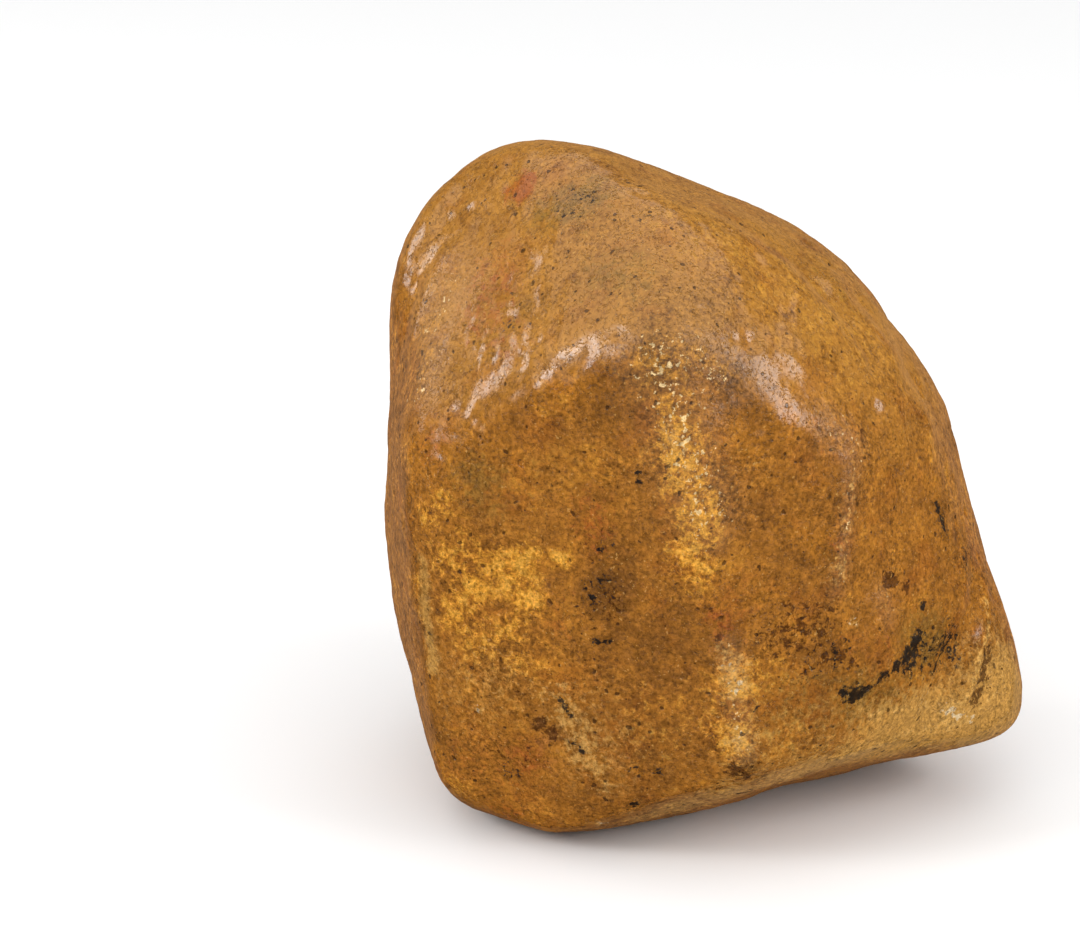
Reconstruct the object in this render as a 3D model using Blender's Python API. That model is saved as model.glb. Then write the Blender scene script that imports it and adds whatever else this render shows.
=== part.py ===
"""Rough bumblebee jasper: one river-worn boulder, big enough to fill two hands.

The stone is a single solid. A lump like this breaks out of the rock along flat joints, and
water then rounds its edges. So it is shaped in that order: a ring of gently domed faces, melted
into each other where they meet; then the swells, dents, ridges and creases that wear has left;
then the low lumps of a weathered skin; and last a small flat sole where it stands.

Run it with blender --background --python part.py, or from the Text editor. Metres, +Z up. The
stone stands on z = 0, its box is centred on the Z axis, and its broad face looks towards -Y.
"""
import bmesh
import bpy
import numpy as np

# ------------------------------------------------------------------ driving dimensions (metres)

HEART = (-0.0009, -0.0012, 0.0605)   # the point inside the stone that every face is placed from
EDGE_ROUNDING = 0.0027               # how far the edges between two faces are worn back
FACE_DOME = 0.420                    # radius of the slight bulge that every face has

# The faces. Each looks along an azimuth (degrees, 0 is -Y and 90 is +X) and an elevation
# (degrees, 90 is straight up), and lies at a distance from the heart.
FACES = {
    "left_flank": (-79, 4, 0.0610),
    "left_low": (-78, -8, 0.0630),
    "heel_left": (-54, -40, 0.0794),
    "sole": (0, -90, 0.0612),
    "front_left": (-14, -2, 0.0490),
    "front_right": (20, 4, 0.0475),
    "front_far_right": (48, 6, 0.0480),
    "under_right": (30, -52, 0.0582),
    "upper_left": (-47, 39, 0.0620),
    "crest": (-6, 64, 0.0673),
    "brow_right": (51, 27, 0.0499),
    "upper_right": (58, 46, 0.0525),
    "shoulder_right": (66, 27, 0.0490),
    "crown_left": (-104, 46, 0.0815),
    "crown_right": (112, 62, 0.0546),
    "right_shoulder": (98, 39, 0.0508),
    "right_flank": (89, 19, 0.0504),
    "back": (180, 10, 0.0475),
    "back_left": (-135, 10, 0.0555),
    "back_right": (130, 10, 0.0555),
    "back_top": (170, 48, 0.0565),
    "heel_back": (-122, -42, 0.0685),
    "toe_back": (128, -32, 0.0670),
    "under_back": (180, -50, 0.0655),
}

# Swells and dents: azimuth, elevation, reach and height. A dent has a height below nought.
SWELLS = {
    "toe": (80, -34, 0.0160, 0.0068),
    "heel": (-42, -60, 0.0160, 0.0018),
    "left_crown": (-104, 40, 0.0170, 0.0048),
    "peak": (-112, 62, 0.0220, 0.0022),
    "saddle_dent": (-60, 79, 0.0090, -0.0013),
    "brow_dent": (72, 72, 0.0080, -0.0012),
    "right_dent": (84, -6, 0.0150, -0.0012),
    "left_trough": (-24, 20, 0.0130, -0.0009),
    "right_trough": (14, 18, 0.0110, -0.0008),
    "heel_chip": (-48, -46, 0.0070, -0.0016),
    "chip_rim": (-58, -40, 0.0050, 0.0009),
    "brow_pit_rim": (13, 50, 0.0034, 0.0006),
    "brow_pit": (13, 50, 0.0017, -0.0010),
    "ridge_pit": (-5, 22, 0.0019, -0.0008),
    "back_hollow": (168, 4, 0.0160, -0.0022),
    "back_swell": (-150, 34, 0.0180, 0.0018),
    "back_toe": (140, -38, 0.0150, 0.0030),
    "back_chip": (-140, -30, 0.0100, -0.0020),
}

# Ridges and creases: the (azimuth, elevation) stations along one, its reach and its height.
RIDGES = {
    "middle_ridge": (((-11, 45), (-4, 33), (-2, 7), (9, -14), (10, -33)), 0.0060, 0.0009),
    "right_ridge": (((39, 30), (35, 15), (33, -2)), 0.0050, 0.0008),
    "flank_crease": (((-95, 52), (-89, 46), (-86, 38), (-83, 31)), 0.0035, -0.0010),
    "toe_crease": (((77, -15), (66, -24), (61, -32)), 0.0035, -0.0016),
    "toe_ledge": (((78, -26), (72, -32)), 0.0025, -0.0007),
    "brow_crease": (((38, 80), (63, 70), (65, 57), (65, 44)), 0.0035, -0.0007),
    "back_ridge": (((-165, 58), (-172, 30), (-160, 2)), 0.0080, 0.0014),
    "back_crease": (((118, 44), (128, 22), (124, -4)), 0.0045, -0.0015),
}

# Lumps of the weathered skin: waves across the stone, how many cross there, and their height.
LUMPS = (
    (2.7, 9, 0.00026),
    (5.0, 13, 0.00017),
    (9.0, 21, 0.00012),
)
GOLDEN_ANGLE = np.pi * (3.0 - np.sqrt(5.0))
PHASE_STEP = 2.4                     # radians between one crossing wave and the next

CELLS = 28                           # squares along each edge of the block the stone is cut from
SLAB = (0.160, 0.160, 0.020)         # the tool that laps the sole flat

JASPER_COLOUR = (0.392, 0.162, 0.030, 1.0)
JASPER_ROUGHNESS = 0.32

SOLVER_STEPS = 9                     # Newton steps to find the surface along a direction
FIRST_GUESS = 0.045
NEAREST, FURTHEST = 0.005, 0.200     # no step goes nearer to or further from the heart


# ------------------------------------------------------------------ shape of the stone

def facing(azimuth, elevation):
    """Unit vectors that look along azimuths and elevations given in degrees."""
    a = np.radians(azimuth)
    e = np.radians(elevation)
    return np.stack([np.sin(a) * np.cos(e), -np.cos(a) * np.cos(e), np.sin(e)], axis=-1)


def faces_blend(points):
    """How far points lie outside the melted faces, and the gradient of that.

    A domed face is the height along its own direction, plus half the square of the distance from
    its axis over the dome's radius. The faces are joined by a soft maximum,
    EDGE_ROUNDING * log(sum(exp(height / EDGE_ROUNDING))), which is what rounds their edges.
    """
    table = np.array(list(FACES.values()))
    normals = facing(table[:, 0], table[:, 1])
    along = points @ normals.T
    from_axis = (points ** 2).sum(axis=1)[:, None] - along ** 2
    height = (along - table[:, 2] + from_axis / (2.0 * FACE_DOME)) / EDGE_ROUNDING
    top = height.max(axis=1, keepdims=True)
    share = np.exp(height - top)
    total = share.sum(axis=1, keepdims=True)
    share = share / total
    value = EDGE_ROUNDING * (top + np.log(total))[:, 0]
    gradient = share @ normals + (points - (share * along) @ normals) / FACE_DOME
    return value, gradient


def blocked_out(directions):
    """Distance from the heart to the melted faces, along unit directions."""
    reach = np.full(len(directions), FIRST_GUESS)
    for _ in range(SOLVER_STEPS):
        value, gradient = faces_blend(directions * reach[:, None])
        slope = np.maximum((gradient * directions).sum(axis=1), 0.2)
        reach = np.clip(reach - value / slope, NEAREST, FURTHEST)
    return reach


def swells(directions, reach):
    """Sum of the round swells and dents: height * exp(-(distance / reach)^2)."""
    height = np.zeros(len(directions))
    for azimuth, elevation, spread, rise in SWELLS.values():
        away = np.linalg.norm(directions - facing(azimuth, elevation), axis=1) * reach
        height += rise * np.exp(-(away / spread) ** 2)
    return height


def ridges(directions, reach):
    """Sum of the ridges and creases: the same bell curve, by distance from a bent line."""
    height = np.zeros(len(directions))
    for stations, spread, rise in RIDGES.values():
        line = facing(*np.array(stations, float).T)
        nearest = np.full(len(directions), np.inf)
        for start, end in zip(line[:-1], line[1:]):
            run = end - start
            share = np.clip((directions - start) @ run / (run @ run), 0.0, 1.0)
            away = np.linalg.norm(directions - start - share[:, None] * run, axis=1)
            nearest = np.minimum(nearest, away)
        height += rise * np.exp(-(nearest * reach / spread) ** 2)
    return height


def lumps(directions):
    """Low lumps: cosine waves that cross the stone in directions spread by the golden angle."""
    height = np.zeros(len(directions))
    for waves, count, rise in LUMPS:
        k = np.arange(count)
        z = 1.0 - (2.0 * k + 1.0) / count
        turn = GOLDEN_ANGLE * k * (1.0 + waves)
        flat = np.sqrt(1.0 - z * z)
        heading = np.stack([flat * np.cos(turn), flat * np.sin(turn), z], axis=1)
        wave = np.cos(np.pi * waves * (directions @ heading.T) + PHASE_STEP * k)
        height += rise * np.sqrt(2.0 / count) * wave.sum(axis=1)
    return height


def stone_points(directions):
    """Points of the stone's skin along unit directions from its heart."""
    reach = blocked_out(directions)
    relief = swells(directions, reach) + ridges(directions, reach) + lumps(directions)
    return np.array(HEART) + directions * (reach + relief)[:, None]


# ------------------------------------------------------------------ objects

def clear_scene():
    for old in list(bpy.data.objects):
        bpy.data.objects.remove(old, do_unlink=True)


def new_collection(name):
    collection = bpy.data.collections.new(name)
    bpy.context.scene.collection.children.link(collection)
    return collection


def jasper_material():
    """Honey-brown stone with a worn, slightly greasy polish."""
    material = bpy.data.materials.new("jasper")
    material.use_nodes = True
    shader = material.node_tree.nodes["Principled BSDF"]
    shader.inputs["Base Color"].default_value = JASPER_COLOUR
    shader.inputs["Roughness"].default_value = JASPER_ROUGHNESS
    shader.inputs["Metallic"].default_value = 0.0
    return material


def build_stone(collection):
    """The stone: a finely divided cube whose corners are moved out onto the stone's skin."""
    bm = bmesh.new()
    bmesh.ops.create_cube(bm, size=2.0)
    bmesh.ops.subdivide_edges(bm, edges=bm.edges[:], cuts=CELLS - 1, use_grid_fill=True)
    mesh = bpy.data.meshes.new("jasper_boulder")
    bm.to_mesh(mesh)
    bm.free()

    corners = np.empty(3 * len(mesh.vertices))
    mesh.vertices.foreach_get("co", corners)
    evened = np.tan(corners.reshape(-1, 3) * np.pi / 4.0)
    directions = evened / np.linalg.norm(evened, axis=1, keepdims=True)
    mesh.vertices.foreach_set("co", stone_points(directions).ravel())
    mesh.shade_smooth()
    mesh.update()

    stone = bpy.data.objects.new("jasper_boulder", mesh)
    stone.data.materials.append(jasper_material())
    collection.objects.link(stone)
    return stone


def build_sole_slab(collection):
    """A slab that fills everything below z = 0."""
    bm = bmesh.new()
    bmesh.ops.create_cube(bm, size=1.0)
    mesh = bpy.data.meshes.new("sole_slab")
    bm.to_mesh(mesh)
    bm.free()
    slab = bpy.data.objects.new("sole_slab", mesh)
    slab.scale = SLAB
    slab.location = (0.0, 0.0, -SLAB[2] / 2.0)
    slab.hide_render = True
    slab.display_type = "WIRE"
    collection.objects.link(slab)
    return slab


def lap_sole(stone, slab):
    """Cut the small flat sole that the stone stands on."""
    cut = stone.modifiers.new("flat_sole", "BOOLEAN")
    cut.operation = "DIFFERENCE"
    cut.solver = "EXACT"
    cut.object = slab


def main():
    clear_scene()
    stone = build_stone(new_collection("rough_bumblebee_jasper"))
    slab = build_sole_slab(new_collection("cutters"))
    lap_sole(stone, slab)


main()
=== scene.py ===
# %% [markdown]
# # A rough bumblebee jasper boulder
#
# The real thing is one loose stone, about 13 cm across: a lump that broke out along flat joints
# and was then rounded, pitted and stained by water and iron. A sculpted mesh could give the
# same look, but a boulder has no profile to draw and no seam to hide behind. So this lesson works
# the skin out as a height above a point in the middle of the stone, the heart, for every
# direction from it. Each feature is then a named bump with a place, a reach and a height, which
# is how a carver would list them.

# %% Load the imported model
import itertools

import bpy
import numpy as np
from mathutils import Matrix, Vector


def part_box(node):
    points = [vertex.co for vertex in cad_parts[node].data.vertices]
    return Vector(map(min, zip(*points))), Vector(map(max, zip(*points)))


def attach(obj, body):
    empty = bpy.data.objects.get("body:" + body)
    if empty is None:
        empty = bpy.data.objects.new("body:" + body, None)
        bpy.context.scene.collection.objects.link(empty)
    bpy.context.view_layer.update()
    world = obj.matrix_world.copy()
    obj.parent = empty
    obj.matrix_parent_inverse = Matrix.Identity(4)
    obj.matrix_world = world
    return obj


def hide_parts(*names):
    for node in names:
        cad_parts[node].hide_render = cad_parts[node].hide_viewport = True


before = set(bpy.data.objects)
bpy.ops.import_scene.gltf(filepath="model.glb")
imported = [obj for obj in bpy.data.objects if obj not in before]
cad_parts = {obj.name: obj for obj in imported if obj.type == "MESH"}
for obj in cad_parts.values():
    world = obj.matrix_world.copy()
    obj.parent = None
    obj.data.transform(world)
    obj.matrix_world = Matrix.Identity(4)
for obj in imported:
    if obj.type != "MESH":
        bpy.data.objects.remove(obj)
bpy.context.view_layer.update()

CORE = "jasper_boulder"
MM = 0.001


def span_mm(heights):
    """Least and greatest of some lengths in metres, given in millimetres."""
    return np.round(np.array([heights.min(), heights.max()]) / MM, 2)


core_low, core_high = (np.array(corner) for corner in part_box(CORE))
print("solid stone, mm:", np.round((core_high - core_low) / MM, 1))

# %% [markdown]
# ## Where the skin is measured from
#
# Everything on the stone is placed by looking out from its heart: an azimuth, where 0 looks at
# the viewer and 90 to the right, and an elevation, where 90 looks straight up. A globe grid would
# pinch the mesh at two poles. A cube blown up to a ball has no poles, and its cells stay
# almost the same size all over, so the fine relief gets equal detail everywhere.

# %% A ball of directions
HEART = np.array([-0.0009, -0.0012, 0.0605])
CELLS = 128


def facing(azimuth, elevation):
    """Unit vector: (sin a cos e, -cos a cos e, sin e), angles in degrees."""
    a = np.radians(azimuth)
    e = np.radians(elevation)
    return np.stack([np.sin(a) * np.cos(e), -np.cos(a) * np.cos(e), np.sin(e)], axis=-1)


def cube_ball(cells):
    """Unit directions and the quads that join them.

    Six square grids lie on a cube. A corner at x, y, z in -1..1 goes to tan(x pi / 4),
    tan(y pi / 4), tan(z pi / 4), which evens the cells out, and is then scaled to length one.
    Corners that two or three grids share are kept once, so the ball has no seam.
    """
    step = np.arange(cells + 1)
    a, b = np.meshgrid(step, step, indexing="ij")
    none = np.zeros_like(a)
    full = np.full_like(a, cells)
    sides = [(full, a, b), (none, b, a), (b, full, a), (a, none, b), (a, b, full), (b, a, none)]
    lattice = np.stack([np.stack(side, axis=-1) for side in sides])
    code = lattice @ np.array([1, cells + 1, (cells + 1) ** 2])
    _, first, shared = np.unique(code.ravel(), return_index=True, return_inverse=True)
    corner = 2.0 * lattice.reshape(-1, 3)[first] / cells - 1.0
    evened = np.tan(corner * np.pi / 4.0)
    ball = evened / np.linalg.norm(evened, axis=1, keepdims=True)
    grid = shared.reshape(6, cells + 1, cells + 1)
    quads = np.stack(
        [grid[:, :-1, :-1], grid[:, 1:, :-1], grid[:, 1:, 1:], grid[:, :-1, 1:]], axis=-1
    )
    return ball, quads.reshape(-1, 4)


ball, quads = cube_ball(CELLS)
print("directions:", len(ball), "quads:", len(quads))

# %% [markdown]
# ## The block under the wear
#
# Jointed rock breaks into blocks with a handful of nearly flat faces. Each face here is a plane
# with a slight dome, and a soft maximum melts neighbours together, which rounds every edge by
# about the same few millimetres, as tumbling in a stream does. Intersecting real planes and
# bevelling them would give edges of even width that look machined.

# %% The faces of the block: azimuth, elevation, distance from the heart
EDGE_ROUNDING = 0.0027
FACE_DOME = 0.420
FACES = {
    "left_flank": (-79, 4, 0.0610),
    "left_low": (-78, -8, 0.0630),
    "heel_left": (-54, -40, 0.0794),
    "sole": (0, -90, 0.0612),
    "front_left": (-14, -2, 0.0490),
    "front_right": (20, 4, 0.0475),
    "front_far_right": (48, 6, 0.0480),
    "under_right": (30, -52, 0.0582),
    "upper_left": (-47, 39, 0.0620),
    "crest": (-6, 64, 0.0673),
    "brow_right": (51, 27, 0.0499),
    "upper_right": (58, 46, 0.0525),
    "shoulder_right": (66, 27, 0.0490),
    "crown_left": (-104, 46, 0.0815),
    "crown_right": (112, 62, 0.0546),
    "right_shoulder": (98, 39, 0.0508),
    "right_flank": (89, 19, 0.0504),
    "back": (180, 10, 0.0475),
    "back_left": (-135, 10, 0.0555),
    "back_right": (130, 10, 0.0555),
    "back_top": (170, 48, 0.0565),
    "heel_back": (-122, -42, 0.0685),
    "toe_back": (128, -32, 0.0670),
    "under_back": (180, -50, 0.0655),
}


def faces_blend(points):
    """Height above the melted faces, and its gradient.

    One face: along + (square of the distance from its axis) / (2 * dome radius) - distance.
    All of them: rounding * log(sum(exp(height / rounding))).
    """
    table = np.array(list(FACES.values()))
    normals = facing(table[:, 0], table[:, 1])
    along = points @ normals.T
    from_axis = (points ** 2).sum(axis=1)[:, None] - along ** 2
    height = (along - table[:, 2] + from_axis / (2.0 * FACE_DOME)) / EDGE_ROUNDING
    top = height.max(axis=1, keepdims=True)
    share = np.exp(height - top)
    total = share.sum(axis=1, keepdims=True)
    share = share / total
    value = EDGE_ROUNDING * (top + np.log(total))[:, 0]
    gradient = share @ normals + (points - (share * along) @ normals) / FACE_DOME
    return value, gradient


# %% Find the surface along each direction
SOLVER_STEPS = 9
FIRST_GUESS = 0.045
NEAREST, FURTHEST = 0.005, 0.200
LEAST_SLOPE = 0.2


def blocked_out(directions):
    """Distance from the heart to the melted faces: Newton's rule, reach - height / slope."""
    reach = np.full(len(directions), FIRST_GUESS)
    for _ in range(SOLVER_STEPS):
        value, gradient = faces_blend(directions * reach[:, None])
        slope = np.maximum((gradient * directions).sum(axis=1), LEAST_SLOPE)
        reach = np.clip(reach - value / slope, NEAREST, FURTHEST)
    return reach


reach = blocked_out(ball)
print("block, nearest and furthest, mm:", span_mm(reach))

# %% [markdown]
# ## Swells, dents, ridges and creases
#
# These are the forms that a hand would find: the toe at the low right, the heel, the peak, the
# troughs beside the blunt middle ridge, and the deep crease behind which the toe swells out. A
# bell curve, height * exp(-(distance / reach)^2), has no edge, so each one sinks into the stone
# without a rim. A ridge is the same curve measured from a bent line and not from a point.

# %% Swells and dents: azimuth, elevation, reach, height
SWELLS = {
    "toe": (80, -34, 0.0160, 0.0068),
    "heel": (-42, -60, 0.0160, 0.0018),
    "left_crown": (-104, 40, 0.0170, 0.0048),
    "peak": (-112, 62, 0.0220, 0.0022),
    "saddle_dent": (-60, 79, 0.0090, -0.0013),
    "brow_dent": (72, 72, 0.0080, -0.0012),
    "right_dent": (84, -6, 0.0150, -0.0012),
    "left_trough": (-24, 20, 0.0130, -0.0009),
    "right_trough": (14, 18, 0.0110, -0.0008),
    "heel_chip": (-48, -46, 0.0070, -0.0016),
    "chip_rim": (-58, -40, 0.0050, 0.0009),
    "brow_pit_rim": (13, 50, 0.0034, 0.0006),
    "brow_pit": (13, 50, 0.0017, -0.0010),
    "ridge_pit": (-5, 22, 0.0019, -0.0008),
    "back_hollow": (168, 4, 0.0160, -0.0022),
    "back_swell": (-150, 34, 0.0180, 0.0018),
    "back_toe": (140, -38, 0.0150, 0.0030),
    "back_chip": (-140, -30, 0.0100, -0.0020),
}

# %% Ridges and creases: stations of azimuth and elevation, reach, height
RIDGES = {
    "middle_ridge": (((-11, 45), (-4, 33), (-2, 7), (9, -14), (10, -33)), 0.0060, 0.0009),
    "right_ridge": (((39, 30), (35, 15), (33, -2)), 0.0050, 0.0008),
    "flank_crease": (((-95, 52), (-89, 46), (-86, 38), (-83, 31)), 0.0035, -0.0010),
    "toe_crease": (((77, -15), (66, -24), (61, -32)), 0.0035, -0.0016),
    "toe_ledge": (((78, -26), (72, -32)), 0.0025, -0.0007),
    "brow_crease": (((38, 80), (63, 70), (65, 57), (65, 44)), 0.0035, -0.0007),
    "back_ridge": (((-165, 58), (-172, 30), (-160, 2)), 0.0080, 0.0014),
    "back_crease": (((118, 44), (128, 22), (124, -4)), 0.0045, -0.0015),
}

# %% Heights of the named forms
def from_point(directions, reach, place):
    """Distance over the stone from one place: |direction - place| * reach."""
    return np.linalg.norm(directions - facing(*place), axis=1) * reach


def from_line(directions, reach, stations):
    """Distance over the stone from a bent line, the least over its straight runs."""
    line = facing(*np.array(stations, float).T)
    nearest = np.full(len(directions), np.inf)
    for start, end in zip(line[:-1], line[1:]):
        run = end - start
        share = np.clip((directions - start) @ run / (run @ run), 0.0, 1.0)
        away = np.linalg.norm(directions - start - share[:, None] * run, axis=1)
        nearest = np.minimum(nearest, away)
    return nearest * reach


def bell(distance, spread):
    """exp(-(distance / spread)^2)."""
    return np.exp(-(distance / spread) ** 2)


def named_forms(directions, reach):
    """Sum of height * bell over all the swells and ridges."""
    height = np.zeros(len(directions))
    for azimuth, elevation, spread, rise in SWELLS.values():
        height += rise * bell(from_point(directions, reach, (azimuth, elevation)), spread)
    for stations, spread, rise in RIDGES.values():
        height += rise * bell(from_line(directions, reach, stations), spread)
    return height


forms = named_forms(ball, reach)
print("named forms, mm:", span_mm(forms))

# %% [markdown]
# ## Low lumps
#
# A weathered skin is never even between its named forms. Cosine waves that cross in directions
# spread by the golden angle never line up, so a few dozen of them give lumps with no grain and no
# repeat, and they need no random numbers. Five knobs and hollows, less than a millimetre high, lie
# under the brow. A glossy stone shows a lamp where its skin faces the right way, and these turn
# it by the few degrees that bring each sheen to its place.

# %% Crossing waves: waves over the stone, how many cross, height
LUMPS = ((2.7, 9, 0.00026), (5.0, 13, 0.00017), (9.0, 21, 0.00012))
GOLDEN_ANGLE = np.pi * (3.0 - np.sqrt(5.0))
PHASE_STEP = 2.4


def lumps(directions):
    """Sum over k of cos(pi * waves * (direction . heading k) + phase step * k).

    The headings go round by the golden angle, and sqrt(2 / count) keeps each size's height.
    """
    height = np.zeros(len(directions))
    for waves, count, rise in LUMPS:
        k = np.arange(count)
        z = 1.0 - (2.0 * k + 1.0) / count
        turn = GOLDEN_ANGLE * k * (1.0 + waves)
        flat = np.sqrt(1.0 - z * z)
        heading = np.stack([flat * np.cos(turn), flat * np.sin(turn), z], axis=1)
        wave = np.cos(np.pi * waves * (directions @ heading.T) + PHASE_STEP * k)
        height += rise * np.sqrt(2.0 / count) * wave.sum(axis=1)
    return height


# %% Knobs and hollows: azimuth, elevation, reach, height
KNOBS = {
    "knee": (19, 35, 0.0060, 0.0009),
    "above_knee": (25, 50, 0.0070, 0.0007),
    "beside_knee": (8, 38, 0.0050, -0.0006),
    "left_knee": (-34, 38, 0.0080, 0.0009),
    "beside_left_knee": (-50, 28, 0.0080, -0.0008),
}

low_lumps = lumps(ball)
for azimuth, elevation, spread, rise in KNOBS.values():
    low_lumps += rise * bell(from_point(ball, reach, (azimuth, elevation)), spread)
print("low lumps, mm:", span_mm(low_lumps))

# %% [markdown]
# ## Skin relief
#
# Close to, the skin is leathery: soft pimples a few millimetres apart, and pores where softer
# grains have dissolved. The larger of these catch the light on the outline, so they are real
# relief in the mesh. Gradient noise gives the pimples. The pores are round bells at seeded random
# places, because noise alone makes no clean round pit.

# %% Noise for the skin
LATTICE = 48
NOISE_GAIN = 1.6


def stone_noise(points, cell, seed):
    """Gradient noise, about -1..1, with lumps one cell apart.

    Every corner of a cubic lattice has a random slope. A point blends the heights that the
    eight slopes round it give, by the curve t^3 (t (6 t - 15) + 10) along each axis.
    """
    slopes = np.random.default_rng(seed).normal(size=(LATTICE, LATTICE, LATTICE, 3))
    slopes /= np.linalg.norm(slopes, axis=-1, keepdims=True)
    place = points / cell
    corner = np.floor(place).astype(int)
    part = place - corner
    fade = part ** 3 * (part * (6.0 * part - 15.0) + 10.0)
    height = np.zeros(len(points))
    for offset in itertools.product((0, 1), repeat=3):
        i, j, k = ((corner + offset) % LATTICE).T
        weight = np.where(offset, fade, 1.0 - fade).prod(axis=1)
        height += weight * (slopes[i, j, k] * (part - offset)).sum(axis=1)
    return NOISE_GAIN * height


def noise_relief(points, layers, seed):
    """Sum over the layers of height * noise, each layer with a seed of its own."""
    return sum(
        rise * stone_noise(points, cell, seed + n) for n, (cell, rise) in enumerate(layers)
    )


# %% Pimples: size and height of each layer, from soft swellings down to grain
PIMPLES = ((0.0095, 0.00014), (0.0048, 0.00013), (0.0025, 0.00009), (0.0015, 0.00006))
PIMPLE_SEED = 11

coarse = ball * (reach + forms + low_lumps)[:, None]
skin = noise_relief(coarse, PIMPLES, PIMPLE_SEED)
print("skin relief, mm:", span_mm(skin))

# %% Pores: how many, and the least and greatest reach and depth
PORES = 420
PORE_REACH = (0.0007, 0.0017)
PORE_DEPTH = (0.00012, 0.00045)
PORE_SEED = 7
CLOSE_BY = 0.99    # cosine of the angle round a pore inside which the skin feels it


def pore_relief(directions, reach):
    """Round pits: -depth * bell(distance), at seeded random places all over the stone."""
    rng = np.random.default_rng(PORE_SEED)
    places = rng.normal(size=(PORES, 3))
    places /= np.linalg.norm(places, axis=1, keepdims=True)
    spreads = rng.uniform(*PORE_REACH, PORES)
    depths = rng.uniform(*PORE_DEPTH, PORES)
    height = np.zeros(len(directions))
    for place, spread, depth in zip(places, spreads, depths):
        close = np.flatnonzero(directions @ place > CLOSE_BY)
        away = np.linalg.norm(directions[close] - place, axis=1) * reach[close]
        height[close] -= depth * bell(away, spread)
    return height


pores = pore_relief(ball, reach)
print("pores, mm:", span_mm(pores))

# %% [markdown]
# ## Broken ridges and the folded toe
#
# Knocks have broken the skin along the ridges, so the grains there stand up in flakes two or
# three millimetres across. On the toe the rock peels in thin folds, which end in ledges and
# grooves. Both are narrower than any form above, and they follow bent lines in the same way.

# %% How covered a place is
def coverage(directions, reach, spots, lines=()):
    """How covered each place is, 0..1: one minus the product of (1 - strength * bell)."""
    clean = np.ones(len(directions))
    for azimuth, elevation, spread, strength in spots:
        away = from_point(directions, reach, (azimuth, elevation))
        clean *= 1.0 - strength * bell(away, spread * MM)
    for stations, spread, strength in lines:
        clean *= 1.0 - strength * bell(from_line(directions, reach, stations), spread * MM)
    return 1.0 - clean


# %% Broken ridges: stations, reach in mm, strength
BROKEN = {
    "middle": (((-8, 42), (-5, 34), (-2, 26), (1, 20)), 6.5, 1.0),
    "brow": (((-12, 43), (-2, 46), (6, 43)), 5.5, 0.75),
    "shoulder": (((34, 33), (39, 29)), 5.0, 0.7),
    "trail": (((1, 20), (3, 12)), 3.0, 0.7),
    # The haze line is no ridge: its flakes carry painted glints, the broken reflection of a light
    # on the left shoulder.
    "haze": (((-75, 45), (-72, 34), (-66, 26)), 6.0, 0.75),
    "lower": (((7, -12), (9, -24), (11, -34)), 2.6, 0.8),
    "side": (((38, 24), (34, 6), (32, -2)), 2.4, 0.6),
    "corner": (((45, -7), (47, -12)), 3.0, 0.6),
}
FLAKES = ((0.0030, 0.00022), (0.0017, 0.00014))
FLAKE_SEED = 31

broken = coverage(ball, reach, (), BROKEN.values())
flakes = sum(
    rise * np.abs(stone_noise(coarse, cell, FLAKE_SEED + n))
    for n, (cell, rise) in enumerate(FLAKES)
)
print("flakes, mm:", span_mm(broken * flakes))

# %% Folds and grooves: stations, reach in mm, height in mm
FOLDS = {
    "ledge": (((80, -16), (77, -19.5), (74, -22.3), (71.5, -25), (69, -28), (67.5, -30.3),
               (65.3, -31.6), (63, -33.4)), 1.4, 0.55),
    "groove": (((75, -23.5), (73.3, -25.5), (71.8, -27.9), (70, -31)), 1.6, -0.75),
    "second": (((77, -22), (78, -25.8), (75.5, -29), (71, -32)), 1.3, 0.35),
    "under": (((62, -36), (50, -38), (38, -41)), 1.8, 0.30),
    "below": (((66, -33), (56, -35.5), (46, -38)), 1.6, -0.30),
}

folds = sum(
    rise * MM * bell(from_line(ball, reach, stations), spread * MM)
    for stations, spread, rise in FOLDS.values()
)
detail = broken * flakes + folds
print("flakes and folds, mm:", span_mm(detail))

# %% [markdown]
# ## The stone's mesh
#
# The heights are added along each direction, and the underside is lapped flat at z = 0, as the
# solid stone's is. The arrays go into the mesh whole, with no loop over its corners.

# %% Build the skin
points = HEART + ball * (reach + forms + low_lumps + skin + pores + detail)[:, None]
points[:, 2] = np.maximum(points[:, 2], 0.0)


def mesh_from(name, points, quads):
    """A smooth mesh from an array of corners and an array of quads."""
    mesh = bpy.data.meshes.new(name)
    mesh.vertices.add(len(points))
    mesh.vertices.foreach_set("co", points.astype(np.float32).ravel())
    mesh.loops.add(quads.size)
    mesh.loops.foreach_set("vertex_index", quads.astype(np.int32).ravel())
    mesh.polygons.add(len(quads))
    mesh.polygons.foreach_set("loop_start", np.arange(0, quads.size, 4, dtype=np.int32))
    mesh.update(calc_edges=True)
    mesh.shade_smooth()
    return mesh


stone_mesh = mesh_from("jasper_skin", points, quads)
stone = bpy.data.objects.new("jasper_skin", stone_mesh)
bpy.context.scene.collection.objects.link(stone)
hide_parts(CORE)
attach(stone, "root")
print("skin, mm:", np.round(np.ptp(points, axis=0) / MM, 1), "bad mesh:", stone_mesh.validate())
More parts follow.
